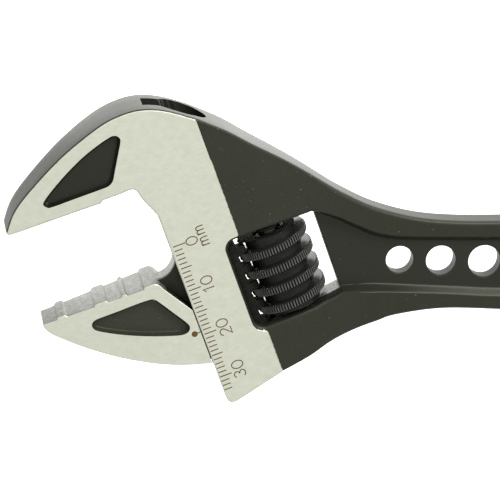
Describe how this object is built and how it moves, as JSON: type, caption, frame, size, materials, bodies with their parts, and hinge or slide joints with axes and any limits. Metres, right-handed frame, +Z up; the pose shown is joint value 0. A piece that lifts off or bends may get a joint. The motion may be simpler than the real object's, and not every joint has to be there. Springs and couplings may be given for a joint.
{
  "type": "adjustable wrench",
  "caption": "Adjustable wrench with a slim forged handle, a hole row, ground jaws and a knurled worm that drives the movable jaw.",
  "frame": {"origin": "centre of the bounding box at its lowest level, the wrench lying flat on its back face", "axes": "+X along the handle away from the jaws, +Z up through the thickness, the jaws open towards -Y"},
  "size_m": [0.1996, 0.0624, 0.0152],
  "materials": {
    "body_forging": "matte black phosphate with ground satin head faces",
    "jaw_steel": "ground satin steel",
    "worm_steel": "black oxide, knurled",
    "pin_steel": "black oxide",
    "spring_steel": "drawn wire",
    "scale_mark": "laser etched"
  },
  "bodies": {
    "handle_body": {"wrench_body": "body_forging", "worm_pin": "pin_steel", "worm_spring": "spring_steel"},
    "jaw": {"movable_jaw": "jaw_steel"},
    "worm": {"worm_knurl": "worm_steel"}
  },
  "joints": [
    {"name": "worm_spin", "type": "hinge", "parent": "handle_body", "child": "worm", "pos_m": [-0.04227, -0.00312, 0.0076], "axis": [-0.3827, 0.9239, 0], "range_deg": [-1720, 1158]},
    {"name": "jaw_slide", "type": "slide", "parent": "handle_body", "child": "jaw", "axis": [0.3827, -0.9239, 0], "range_m": [-0.0196, 0.0132]}
  ],
  "couplings": [
    {"joint": "jaw_slide", "follows": "worm_spin", "m_per_rad": 0.00065254}
  ]
}
